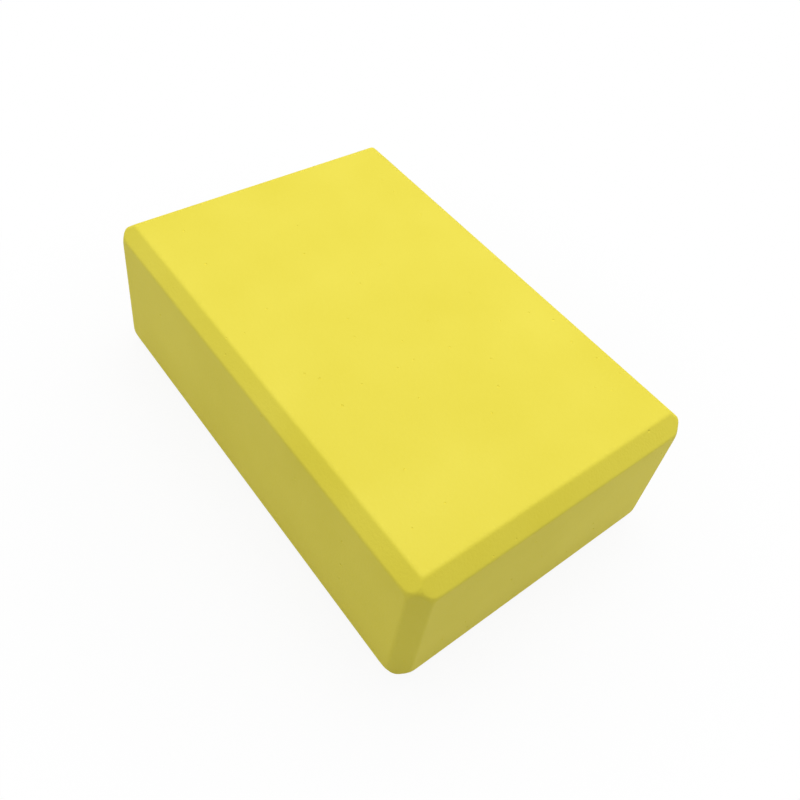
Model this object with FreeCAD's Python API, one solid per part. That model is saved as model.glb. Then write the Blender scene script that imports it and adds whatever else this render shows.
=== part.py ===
import FreeCAD, Part
import os

# A firm exercise block, cut in one piece from a slab of closed-cell foam, with a flat bevel along each of
# its twelve edges. It lies on its largest face, and the origin is at the middle of that face. X runs along
# the block's length, Y across its width and Z up through its thickness.

# Overall size of the block
block_length = 230.0
block_width = 150.0
block_thickness = 75.0

# Bevels are cut at 45 degrees. Each size is how far the bevel reaches in from a face beside it
long_edge_bevel = 6.1
end_edge_bevel = 7.1
upright_edge_bevel = 6.8

# Foam keeps no sharp line: where two cut faces meet, the block is rounded to this radius
arris_radius = 2.3

# Going round a rectangle, the sides that its four corners are on
corner_signs = [(1, 1), (-1, 1), (-1, -1), (1, -1)]


def bevelled_rectangle(across, up, bevel):
    """The points, in order, of a rectangle about zero whose corners are cut off at 45 degrees."""
    points = []
    for across_sign, up_sign in corner_signs:
        on_side = (across_sign * across / 2, up_sign * (up / 2 - bevel))
        on_end = (across_sign * (across / 2 - bevel), up_sign * up / 2)
        points += [on_side, on_end] if across_sign == up_sign else [on_end, on_side]
    return points


def prism(outline, travel):
    """The solid that a closed flat outline sweeps along a straight line."""
    return Part.Face(Part.makePolygon(outline + outline[:1])).extrude(travel)


def seen_from_above():
    """The block's outline from above, with the upright bevels, swept through its thickness."""
    outline = bevelled_rectangle(block_length, block_width, upright_edge_bevel)
    points = [FreeCAD.Vector(x, y, 0) for x, y in outline]
    return prism(points, FreeCAD.Vector(0, 0, block_thickness))


def seen_from_side():
    """The block's outline from a long side, with the bevels of its ends, swept across its width."""
    outline = bevelled_rectangle(block_length, block_thickness, end_edge_bevel)
    points = [FreeCAD.Vector(x, -block_width / 2, z + block_thickness / 2) for x, z in outline]
    return prism(points, FreeCAD.Vector(0, block_width, 0))


def seen_from_end():
    """The block's outline from an end, with the bevels of its long edges, swept along its length."""
    outline = bevelled_rectangle(block_width, block_thickness, long_edge_bevel)
    points = [FreeCAD.Vector(-block_length / 2, y, z + block_thickness / 2) for y, z in outline]
    return prism(points, FreeCAD.Vector(block_length, 0, 0))


def foam_block():
    """What all three outlines have in common: at each corner, three bevels run into one another."""
    cut = seen_from_above().common(seen_from_side()).common(seen_from_end()).removeSplitter()
    return cut.makeFillet(arris_radius, cut.Edges).Solids[0]


block = foam_block()
os.makedirs("parts", exist_ok=True)
block.exportStep("parts/foam_block.step")
print("foam_block", block.ShapeType, "valid", block.isValid(), "faces", len(block.Faces))
print("size", block.BoundBox.XLength, block.BoundBox.YLength, block.BoundBox.ZLength)
print("volume", block.Volume)
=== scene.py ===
# %% [markdown]
# # A foam yoga block
#
# This lesson dresses one object: a firm yellow block for yoga and stretching, cut in one piece from a
# slab of closed-cell foam. The measured solid comes first. It is loaded as a fixed frame, in metres,
# and everything made here sits in that same frame, so nothing has to be fitted by eye. The block lies
# on its largest face, with X along its length, Y across its width and Z up. The camera looks at its
# near right-hand corner.

# %% Load the measured solid
import itertools
import math

import bmesh
import bpy
from mathutils import Color, Euler, Matrix, Vector


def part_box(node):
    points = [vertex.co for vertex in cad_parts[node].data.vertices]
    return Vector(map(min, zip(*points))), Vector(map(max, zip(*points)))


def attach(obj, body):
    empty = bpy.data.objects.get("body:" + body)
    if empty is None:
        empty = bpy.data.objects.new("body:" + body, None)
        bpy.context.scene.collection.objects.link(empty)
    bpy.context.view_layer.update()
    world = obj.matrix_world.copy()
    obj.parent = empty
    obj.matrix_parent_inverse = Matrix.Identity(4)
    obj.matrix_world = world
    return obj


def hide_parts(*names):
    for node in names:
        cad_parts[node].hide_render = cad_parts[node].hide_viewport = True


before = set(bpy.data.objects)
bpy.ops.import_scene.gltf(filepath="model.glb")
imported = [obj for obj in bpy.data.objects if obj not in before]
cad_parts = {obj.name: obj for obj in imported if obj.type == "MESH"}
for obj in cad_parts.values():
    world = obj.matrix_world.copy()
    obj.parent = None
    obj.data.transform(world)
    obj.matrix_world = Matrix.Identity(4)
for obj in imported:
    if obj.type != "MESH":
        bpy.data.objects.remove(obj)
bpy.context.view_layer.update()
mm = 0.001
low_corner, high_corner = [Vector(corner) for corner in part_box("foam_block")]
block_size = high_corner - low_corner
block_middle = (low_corner + high_corner) / 2
print("the measured block, in mm:", [round(side / mm, 2) for side in block_size])

# %% [markdown]
# ## The camera
#
# A photograph fixes its own camera. The block's straight edges run towards vanishing points, and from
# those come the place the camera stood, the way it was turned and the length of its lens. The turn
# could be typed in as three Euler angles, but this camera was also rolled about its own line of sight,
# and that is easier to follow in two steps: tip it and walk it round the block first, then roll it. The
# shift says that the line of sight doesn't go through the middle of the picture.

# %% Place the camera
image_side_pixels = 800
middle_pixels = image_side_pixels / 2
sight_across_pixels = 420.5
sight_down_pixels = 340.5
focal_pixels = 875.4
camera_place = Vector((198.75, -193.60, 347.87)) * mm
round_from_front = math.radians(42.70)
above_level = math.radians(45.83)
roll = math.radians(12.04)
nearest_seen = 10 * mm
# A new camera or lamp points straight down. Tipped up by this much, it points level
tip_to_level = math.radians(90)

camera_data = bpy.data.cameras.new("studio_camera")
camera_data.lens = camera_data.sensor_width * focal_pixels / image_side_pixels
camera_data.shift_x = (middle_pixels - sight_across_pixels) / image_side_pixels
camera_data.shift_y = (sight_down_pixels - middle_pixels) / image_side_pixels
camera_data.clip_start = nearest_seen
camera = bpy.data.objects.new("studio_camera", camera_data)
tipped_and_walked = Euler((tip_to_level - above_level, 0, round_from_front)).to_matrix()
turned = tipped_and_walked @ Matrix.Rotation(roll, 3, "Z")
camera.matrix_world = Matrix.Translation(camera_place) @ turned.to_4x4()
bpy.context.collection.objects.link(camera)
bpy.context.scene.camera = camera
print("lens", round(camera_data.lens, 2), "mm, shift", camera_data.shift_x, camera_data.shift_y)

# %% [markdown]
# ## Small helpers for nodes
#
# Materials and Geometry Nodes are both trees of nodes. Each node could be added, set and linked in
# lines of its own, but then the trees below would fill pages, so one function does all three. It adds a
# node, sets its options, then feeds its inputs: each with a plain value, or with the output of a node
# made before it. Inputs go by name, or by number where a node has two of the same name. Colours are
# written as on a web page, in sRGB, but a node takes linear light, so another function turns one into
# the other.

# %% Add a node and read a colour
brightest_byte = 255
opaque = 1.0


def live_socket(sockets, name):
    """The socket of this name that is in use. Some nodes have one for each kind of data."""
    return next(socket for socket in sockets if socket.enabled and socket.name == name)


def add_node(tree, kind, feeds=None, **options):
    """Adds a node with these options, and gives its named inputs a value or another node's output."""
    node = tree.nodes.new(kind)
    for option, value in options.items():
        setattr(node, option, value)
    for key, value in (feeds or {}).items():
        socket = node.inputs[key] if isinstance(key, int) else live_socket(node.inputs, key)
        if isinstance(value, bpy.types.NodeSocket):
            tree.links.new(value, socket)
        else:
            socket.default_value = value
    return node


def linear(hex_colour):
    """Turns an sRGB colour, written #RRGGBB, into the linear light and alpha that a node takes."""
    shown = Color([int(hex_colour[at:at + 2], 16) / brightest_byte for at in (1, 3, 5)])
    return [*shown.from_srgb_to_scene_linear(), opaque]


print("mid grey in linear light:", [round(part, 3) for part in linear("#808080")])

# %% [markdown]
# ## EVA foam, cut
#
# The slab is EVA, a soft plastic blown into closed cells and then sawn and bevelled. The cut leaves the
# outermost cells open, so light goes in and comes out again in all directions: the eye gets an even,
# saturated yellow with no clear highlight, only a weak broad sheen where the block reflects its pale
# surroundings. Subsurface scattering could stand for that, but foam this opaque lets the light out so
# close to where it went in that a plain diffuse surface looks the same. The cells are about 0.3 mm
# across, finer than a pixel here, and there are over a million of them on the surface, too many to cut
# one by one. A bump stands for them, drawn coarser so that it can be seen. The colour drifts very
# slightly over a few centimetres, as it does in a slab that was foamed in one go.

# %% Make the foam material
foam_yellow = "#E5D530"
foam_yellow_pale = "#F0E148"
foam_index = 1.49
foam_drift = 45 * mm
foam_cells_as_drawn = 1.1 * mm
foam_cell_relief = 0.1 * mm
smooth_roughness, rough_roughness = 0.62, 0.74


def cut_eva_foam():
    """A matte closed-cell foam with a slow drift in its colour and a fine open grain from the saw."""
    material = bpy.data.materials.new("EVA foam, cut")
    material.use_nodes = True
    tree = material.node_tree
    surface = tree.nodes["Principled BSDF"]
    place = add_node(tree, "ShaderNodeTexCoord").outputs["Object"]
    drift = add_node(tree, "ShaderNodeTexNoise", {"Vector": place, "Scale": 1 / foam_drift})
    yellows = {"Factor": drift.outputs["Fac"], "A": linear(foam_yellow), "B": linear(foam_yellow_pale)}
    colour = add_node(tree, "ShaderNodeMix", yellows, data_type="RGBA")
    cells = add_node(tree, "ShaderNodeTexNoise", {"Vector": place, "Scale": 1 / foam_cells_as_drawn})
    grain = {"Height": cells.outputs["Fac"], "Distance": foam_cell_relief}
    relief = add_node(tree, "ShaderNodeBump", grain)
    spread = {"Value": cells.outputs["Fac"], "To Min": smooth_roughness, "To Max": rough_roughness}
    roughness = add_node(tree, "ShaderNodeMapRange", spread)
    tree.links.new(live_socket(colour.outputs, "Result"), surface.inputs["Base Color"])
    tree.links.new(relief.outputs["Normal"], surface.inputs["Normal"])
    tree.links.new(roughness.outputs["Result"], surface.inputs["Roughness"])
    surface.inputs["IOR"].default_value = foam_index
    return material


foam = cut_eva_foam()
print("material", foam.name, "with", len(foam.node_tree.nodes), "nodes")

# %% [markdown]
# ## The core inside the block
#
# Every edge of the real block is cut back by a flat bevel at 45 degrees, and the bevels differ a
# little: those of the ends are the widest. Foam keeps no sharp line, so where two cut faces meet there
# is a small round. A Bevel modifier could do both, but it has one width for all edges unless each is
# weighted by hand. Here the round comes from a rule instead: take a sharp block that is smaller by the
# radius of the round all over, and call it the core. Each corner of the core is four points, one on
# each of its three faces and one where three bevels meet. Corners wear sooner than edges, so those
# points are then cut off a little themselves.

# %% Cut the core
long_edge_bevel = 6.1 * mm
end_edge_bevel = 7.1 * mm
upright_edge_bevel = 6.8 * mm
arris_radius = 2.3 * mm
# How far along its edges each kind of corner point is cut off
corner_cuts = {
    "on the top": 0.4 * mm,
    "on the side": 2.2 * mm,
    "on the end": 1.8 * mm,
    "where bevels meet": 1.2 * mm,
}
corner_cut_steps = 2
round_profile_share = 0.5
flat_enough = math.radians(1)
# When all faces move in by the radius, a bevel's reach along the face beside it shrinks by this share of
# the radius
shrink_share = 2 - math.sqrt(2)


def corner_setbacks(long_edge, end_edge, upright):
    """How far four points stand back from a sharp corner, along X, Y and Z."""
    on_top = Vector((end_edge, long_edge, 0))
    on_side = Vector((upright, 0, long_edge))
    on_end = Vector((0, upright, end_edge))
    meeting = (on_top + on_side + on_end - Vector((long_edge, end_edge, upright))) / 2
    return [on_top, on_side, on_end, meeting]


def cut_core():
    """The sharp bevelled block inside the real one, as a plain mesh."""
    bevels = [long_edge_bevel, end_edge_bevel, upright_edge_bevel]
    setbacks = corner_setbacks(*[bevel - shrink_share * arris_radius for bevel in bevels])
    half = block_size / 2 - Vector((arris_radius, arris_radius, arris_radius))
    octants = [Vector(sides) for sides in itertools.product((-1, 1), repeat=3)]
    shape = bmesh.new()
    points = []
    for setback in setbacks:
        points.append([shape.verts.new(block_middle + sides * (half - setback)) for sides in octants])
    bmesh.ops.convex_hull(shape, input=shape.verts)
    bmesh.ops.dissolve_limit(shape, angle_limit=flat_enough, verts=shape.verts, edges=shape.edges)
    for same_points, cut in zip(points, corner_cuts.values()):
        bmesh.ops.bevel(shape, geom=same_points, offset=cut, segments=corner_cut_steps,
                        profile=round_profile_share, affect="VERTICES")
    mesh = bpy.data.meshes.new("foam_core")
    shape.to_mesh(mesh)
    shape.free()
    return mesh


core = cut_core()
print("the core:", len(core.vertices), "points,", len(core.polygons), "faces")

# %% [markdown]
# ## The block's skin, by a rule
#
# Geometry Nodes make the skin. Start from a box of the block's full size with a grid on it, find for
# every grid point the nearest point of the core, and push it back out from there by the radius. Flat
# faces stay flat, bevels fall into place, and each edge and corner is rounded without any special case.
# A Subdivision Surface could round a coarse box too, but it gives no exact radius. How a tree starts
# and ends is written once, because the pin holes further on get a tree as well.

# %% Build the skin tree
vector_math = "ShaderNodeVectorMath"


def start_tree(name, inputs):
    """A new Geometry Nodes tree with these named inputs, and the sockets where they arrive."""
    tree = bpy.data.node_groups.new(name, "GeometryNodeTree")
    tree.is_modifier = True
    for label, kind in inputs.items():
        tree.interface.new_socket(label, in_out="INPUT", socket_type="NodeSocket" + kind)
    tree.interface.new_socket("Geometry", in_out="OUTPUT", socket_type="NodeSocketGeometry")
    return tree, add_node(tree, "NodeGroupInput").outputs


def end_tree(tree, geometry, material, crisp_edges=False):
    """Ends a tree: instances made real, faces smooth but for crisp edges, and this material on all."""
    real = add_node(tree, "GeometryNodeRealizeInstances", {"Geometry": geometry}).outputs[0]
    smooth = add_node(tree, "GeometryNodeSetShadeSmooth", {0: real}).outputs[0]
    crisp = {0: smooth, "Selection": crisp_edges, "Shade Smooth": False}
    shaded = add_node(tree, "GeometryNodeSetShadeSmooth", crisp, domain="EDGE").outputs[0]
    dressing = {"Geometry": shaded, "Material": material}
    worn = add_node(tree, "GeometryNodeSetMaterial", dressing).outputs[0]
    add_node(tree, "NodeGroupOutput", {"Geometry": worn})


def skin_tree():
    """The tree that draws a gridded box in to the core and pushes it out again by the radius."""
    tree, given = start_tree("Soft edged block", {
        "Geometry": "Geometry", "Size": "Vector", "Half size": "Vector", "Middle": "Vector",
        "Even reach": "Vector", "Flat reach": "Vector", "Radius": "Float",
        "Points X": "Int", "Points Y": "Int", "Points Z": "Int", "Material": "Material",
    })
    counts = {"Vertices " + axis: given["Points " + axis] for axis in "XYZ"}
    box = add_node(tree, "GeometryNodeMeshCube", {"Size": given["Size"], **counts}).outputs["Mesh"]
    place = add_node(tree, "GeometryNodeInputPosition").outputs[0]
    out = add_node(tree, vector_math, {0: place}, operation="ABSOLUTE").outputs[0]
    side = add_node(tree, vector_math, {0: place}, operation="SIGN").outputs[0]
    flat = add_node(tree, "ShaderNodeMapRange", {
        "Vector": out, "From Min": (0, 0, 0), "From Max": given["Even reach"],
        "To Min": (0, 0, 0), "To Max": given["Flat reach"],
    }, data_type="FLOAT_VECTOR", clamp=False).outputs["Vector"]
    edge = add_node(tree, "ShaderNodeMapRange", {
        "Vector": out, "From Min": given["Even reach"], "From Max": given["Half size"],
        "To Min": given["Flat reach"], "To Max": given["Half size"],
    }, data_type="FLOAT_VECTOR", clamp=False).outputs["Vector"]
    spaced = add_node(tree, vector_math, {0: flat, 1: edge}, operation="MINIMUM").outputs[0]
    signed = add_node(tree, vector_math, {0: spaced, 1: side}, operation="MULTIPLY").outputs[0]
    moved = add_node(tree, vector_math, {0: signed, 1: given["Middle"]}, operation="ADD").outputs[0]
    grid = add_node(tree, "GeometryNodeSetPosition", {"Geometry": box, "Position": moved}).outputs[0]
    search = add_node(tree, "GeometryNodeProximity", {0: given["Geometry"]}, target_element="FACES")
    nearest = search.outputs["Position"]
    away = add_node(tree, vector_math, {0: place, 1: nearest}, operation="SUBTRACT").outputs[0]
    outward = add_node(tree, vector_math, {0: away}, operation="NORMALIZE").outputs[0]
    by_radius = {0: outward, "Scale": given["Radius"]}
    push = add_node(tree, vector_math, by_radius, operation="SCALE").outputs[0]
    skin = add_node(tree, vector_math, {0: nearest, 1: push}, operation="ADD").outputs[0]
    drawn = add_node(tree, "GeometryNodeSetPosition", {"Geometry": grid, "Position": skin}).outputs[0]
    end_tree(tree, drawn, given["Material"])
    return tree


soft_edges = skin_tree()
print("the skin tree has", len(soft_edges.nodes), "nodes")

# %% [markdown]
# ## From core to skin
#
# The skin is all that is seen of the real block: flat cut faces with soft lines between them. One run
# of the tree makes it. The grid is spaced finely near the edges, where the round needs it, and widely
# on the flat faces, where it doesn't. The box starts out evenly spaced, so two of the inputs say how
# far the wide steps reach, on the even box and on the block. One fine step all over would be simpler,
# but it would put several hundred thousand faces on flat ground.

# %% Run the skin tree
fine_zone = 9.0 * mm
fine_step = 0.45 * mm
wide_step = 2.5 * mm


def run_tree(piece, tree, values):
    """Runs a tree on an object with these input values, and leaves the result in it as a plain mesh."""
    modifier = piece.modifiers.new(tree.name, "NODES")
    modifier.node_group = tree
    for item in tree.interface.items_tree:
        if item.in_out == "INPUT" and item.name in values:
            modifier[item.identifier] = values[item.name]
    evaluated = piece.evaluated_get(bpy.context.evaluated_depsgraph_get())
    mesh = bpy.data.meshes.new_from_object(evaluated)
    piece.modifiers.remove(modifier)
    piece.data = mesh
    print(tree.name + ":", len(mesh.vertices), "points,", len(mesh.polygons), "faces")


flat_reach = block_size / 2 - Vector((fine_zone, fine_zone, fine_zone))
fine_steps = round(fine_zone / fine_step)
wide_steps = [round(2 * reach / wide_step) for reach in flat_reach]
all_steps = [2 * fine_steps + steps for steps in wide_steps]
even_reach = [side / 2 * wide / steps for side, wide, steps in zip(block_size, wide_steps, all_steps)]
block = bpy.data.objects.new("yellow_foam_block", core)
bpy.context.collection.objects.link(block)
run_tree(block, soft_edges, {
    "Size": block_size, "Half size": block_size / 2, "Middle": block_middle, "Radius": arris_radius,
    "Points X": all_steps[0] + 1, "Points Y": all_steps[1] + 1, "Points Z": all_steps[2] + 1,
    "Even reach": even_reach, "Flat reach": flat_reach, "Material": foam,
})

# %% [markdown]
# ## Pin holes
#
# Here and there a larger cell was cut open and left a pin hole about a millimetre wide. There are some
# forty on the top face. They could be painted on, but a painted hole has no rim in raking light, so
# each is a real hollow: points are strewn on the skin at random, with a fixed seed, a small ball sits
# on each, sunk a little way in, and all the balls are cut away from the block at once.

# %% Strew the pin holes and cut them
holes_per_square_metre = 1300.0
least_hole_spacing = 5.0 * mm
least_ball, greatest_ball = 0.6 * mm, 1.0 * mm
# Of a ball's radius, the share that is below the skin
sunk_share = 0.28
whole_share = 1.0
hole_seed = 7
ball_segments, ball_rings = 14, 16


def pin_hole_tree():
    """The tree that strews balls over a surface, each partly sunk in it, and cuts them away."""
    tree, given = start_tree("Pin holes", {
        "Geometry": "Geometry", "Holes per area": "Float", "Least spacing": "Float",
        "Least ball": "Float", "Greatest ball": "Float", "Sunk share": "Float",
        "Seed": "Int", "Material": "Material",
    })
    strewn = add_node(tree, "GeometryNodeDistributePointsOnFaces", {
        "Mesh": given["Geometry"], "Distance Min": given["Least spacing"],
        "Density Max": given["Holes per area"], "Seed": given["Seed"],
    }, distribute_method="POISSON").outputs
    between = {"Min": given["Least ball"], "Max": given["Greatest ball"], "Seed": given["Seed"]}
    chance = add_node(tree, "FunctionNodeRandomValue", between, data_type="FLOAT")
    radius = live_socket(chance.outputs, "Value")
    left_over = {0: whole_share, 1: given["Sunk share"]}
    proud = add_node(tree, "ShaderNodeMath", left_over, operation="SUBTRACT").outputs[0]
    lift = add_node(tree, "ShaderNodeMath", {0: radius, 1: proud}, operation="MULTIPLY").outputs[0]
    along_normal = {0: strewn["Normal"], "Scale": lift}
    offset = add_node(tree, vector_math, along_normal, operation="SCALE").outputs[0]
    ball_shape = {"Segments": ball_segments, "Rings": ball_rings, "Radius": 1}
    ball = add_node(tree, "GeometryNodeMeshUVSphere", ball_shape).outputs["Mesh"]
    balls = add_node(tree, "GeometryNodeInstanceOnPoints", {
        "Points": strewn["Points"], "Instance": ball, "Scale": radius, "Rotation": strewn["Rotation"],
    }).outputs[0]
    raised = add_node(tree, "GeometryNodeSetPosition", {"Geometry": balls, "Offset": offset}).outputs[0]
    real = add_node(tree, "GeometryNodeRealizeInstances", {"Geometry": raised}).outputs[0]
    both = {0: given["Geometry"], 1: real}
    cut = add_node(tree, "GeometryNodeMeshBoolean", both, operation="DIFFERENCE", solver="EXACT").outputs
    end_tree(tree, cut["Mesh"], given["Material"], crisp_edges=cut["Intersecting Edges"])
    return tree


run_tree(block, pin_hole_tree(), {
    "Holes per area": holes_per_square_metre, "Least spacing": least_hole_spacing,
    "Least ball": least_ball, "Greatest ball": greatest_ball, "Sunk share": sunk_share,
    "Seed": hole_seed, "Material": foam,
})

# %% [markdown]
# ## A flat map of the skin
#
# To paint on the block, or to bake its finish into a picture, its skin has to be laid out flat. An
# automatic unwrap would do it, but it cuts the rounded edges into slivers. The block is nearly a box,
# so here it comes apart like a carton: each face goes to the side that it is nearest to and is drawn
# there as seen straight on. The cuts run along the middle of the bevels. The six panels then go on one
# square sheet, top and base one above the other, and next to them the two ends and the two long sides.

# %% Lay the skin out flat
panel_gap = 4.0 * mm
x_axis, y_axis, z_axis = range(3)
# A map of this name is the one that the finish is baked through
flat_map_name = "OFBake"


def carton_panels():
    """For each side: the axes across and up its panel, and where the panel begins on the sheet."""
    length, width, thickness = block_size + Vector((panel_gap, panel_gap, panel_gap))
    return {
        (z_axis, True): (x_axis, y_axis, 0, 0),
        (z_axis, False): (x_axis, y_axis, 0, width),
        (x_axis, True): (y_axis, z_axis, length, 0),
        (x_axis, False): (y_axis, z_axis, length, thickness),
        (y_axis, True): (z_axis, x_axis, length, 2 * thickness),
        (y_axis, False): (z_axis, x_axis, length + thickness, 2 * thickness),
    }


def nearest_side(place):
    """The side that a point is nearest to, as its axis and whether it is the high one."""
    gaps = {(axis, False): place[axis] - low_corner[axis] for axis in (x_axis, y_axis, z_axis)}
    gaps |= {(axis, True): high_corner[axis] - place[axis] for axis in (x_axis, y_axis, z_axis)}
    return min(gaps, key=gaps.get)


def lay_flat(mesh):
    """Draws each face of a mesh on its panel. Low sides run backwards, so no panel is mirrored."""
    panels = carton_panels()
    sheet_side = block_size.x + 2 * block_size.z + 3 * panel_gap
    sheet_margin = Vector((panel_gap, panel_gap)) / 2
    flat_map = mesh.uv_layers.new(name=flat_map_name)
    for face in mesh.polygons:
        axis, high = nearest_side(face.center)
        across, up, left, bottom = panels[axis, high]
        for corner in face.loop_indices:
            place = mesh.vertices[mesh.loops[corner].vertex_index].co
            from_low, from_high = place - low_corner, high_corner - place
            drawn = Vector((left + (from_low if high else from_high)[across], bottom + from_low[up]))
            flat_map.data[corner].uv = (sheet_margin + drawn) / sheet_side
    return sheet_side


print("the flat map stands for a sheet", round(lay_flat(block.data) / mm), "mm wide")

# %% [markdown]
# ## Floor
#
# A plain pale floor, which bounces light on to the sides. To the camera it is mostly its own white, so
# that it runs out into the background, and partly lit paper, so that the block still stands in a faint
# soft shadow. A backdrop that curves up would hide the line where floor and background meet, but it
# would also be seen from behind. Here the share of lit paper fades to nothing away from the block, so
# there is no line to hide.

# %% Lay the floor
floor_reach = 3.0
floor_signs = [(-1, -1), (1, -1), (1, 1), (-1, 1)]
floor_paper = "#E6E6E6"
background_white = "#FFFFFF"
white_strength = 1.0
lit_paper_share = 0.08
# How far from the middle of the block the lit paper begins to fade, and where it is gone
fade_begins, fade_ends = 0.1, 0.24


def seen_or_mirrored(tree):
    """1 for a ray from the camera or one sent on by a glossy or clear surface, and 0 for any other."""
    path = add_node(tree, "ShaderNodeLightPath").outputs
    direct_or_glossy = {0: path["Is Camera Ray"], 1: path["Is Glossy Ray"]}
    first = add_node(tree, "ShaderNodeMath", direct_or_glossy, operation="MAXIMUM").outputs[0]
    or_clear = {0: first, 1: path["Is Transmission Ray"]}
    return add_node(tree, "ShaderNodeMath", or_clear, operation="MAXIMUM").outputs[0]


def pale_paper():
    """Matte studio paper that looks white to the camera and still takes a faint shadow."""
    material = bpy.data.materials.new("Studio paper, matte")
    material.use_nodes = True
    tree = material.node_tree
    tree.nodes.clear()
    paper = add_node(tree, "ShaderNodeBsdfDiffuse", {"Color": linear(floor_paper)}).outputs[0]
    glow = {"Color": linear(background_white), "Strength": white_strength}
    white = add_node(tree, "ShaderNodeEmission", glow).outputs[0]
    place = add_node(tree, "ShaderNodeTexCoord").outputs["Object"]
    away = add_node(tree, vector_math, {0: place}, operation="LENGTH").outputs["Value"]
    distances = {"Value": away, "From Min": fade_begins, "From Max": fade_ends}
    fade = {**distances, "To Min": lit_paper_share, "To Max": 0}
    lit = add_node(tree, "ShaderNodeMapRange", fade, interpolation_type="SMOOTHSTEP").outputs["Result"]
    seen = add_node(tree, "ShaderNodeMixShader", {0: lit, 1: white, 2: paper}).outputs[0]
    choice = {0: seen_or_mirrored(tree), 1: paper, 2: seen}
    chosen = add_node(tree, "ShaderNodeMixShader", choice).outputs[0]
    add_node(tree, "ShaderNodeOutputMaterial", {"Surface": chosen})
    return material


floor_mesh = bpy.data.meshes.new("studio_floor")
floor_corners = [(x * floor_reach, y * floor_reach, low_corner.z) for x, y in floor_signs]
floor_mesh.from_pydata(floor_corners, [], [range(len(floor_corners))])
floor_mesh.materials.append(pale_paper())
floor = bpy.data.objects.new("studio_floor", floor_mesh)
bpy.context.collection.objects.link(floor)
print("floor", 2 * floor_reach, "m wide")

# %% [markdown]
# ## Light
#
# The top is the lightest face, the bevels are next, and the sides are about six tenths as bright as the
# top. The upright bevel that faces the camera is darker than the two sides that it joins, so the main
# light comes from above and behind. Two weaker panels stand low to the left and right of the block, as
# the camera sees it. The right one is small and near, because the right end gets lighter towards its
# far edge, and light from a near lamp falls off along a surface. A panorama of a real room could light
# the block too, but lamps are easier to tune.

# %% Light the block
# Angles are in degrees, round from the front and above level, and lengths are in metres
lamps = {
    "overhead_softbox": dict(round_degrees=223, above_degrees=76, distance=1.5, width=1.2, watts=16.9),
    "left_panel": dict(round_degrees=313, above_degrees=20, distance=1.5, width=1.0, watts=2.5),
    "right_panel": dict(round_degrees=140, above_degrees=20, distance=0.4, width=0.3, watts=0.155),
}
room_tint = "#F2F6FF"
room_strength = 0.36


def hang_lamp(name, round_degrees, above_degrees, distance, width, watts):
    """Hangs a square soft lamp that faces the block."""
    data = bpy.data.lights.new(name, "AREA")
    data.size = width
    data.energy = watts
    lamp = bpy.data.objects.new(name, data)
    turn = Euler((tip_to_level - math.radians(above_degrees), 0, math.radians(round_degrees)))
    lamp.rotation_euler = turn
    lamp.location = block_middle + turn.to_matrix() @ Vector((0, 0, distance))
    bpy.context.collection.objects.link(lamp)


def room_light():
    """A dim even room that shows as white behind the floor."""
    world = bpy.data.worlds.new("Pale room")
    world.use_nodes = True
    tree = world.node_tree
    tree.nodes.clear()
    dim_light = {"Color": linear(room_tint), "Strength": room_strength}
    white_light = {"Color": linear(background_white), "Strength": white_strength}
    dim = add_node(tree, "ShaderNodeBackground", dim_light).outputs[0]
    white = add_node(tree, "ShaderNodeBackground", white_light).outputs[0]
    choice = {0: seen_or_mirrored(tree), 1: dim, 2: white}
    chosen = add_node(tree, "ShaderNodeMixShader", choice).outputs[0]
    add_node(tree, "ShaderNodeOutputWorld", {"Surface": chosen})
    return world


for name, settings in lamps.items():
    hang_lamp(name, **settings)
bpy.context.scene.world = room_light()
bpy.context.scene.view_settings.view_transform = "Standard"
print("lamps:", ", ".join(lamps))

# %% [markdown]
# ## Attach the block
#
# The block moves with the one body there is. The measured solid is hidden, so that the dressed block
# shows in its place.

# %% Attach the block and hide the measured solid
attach(block, "root")
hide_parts("foam_block")
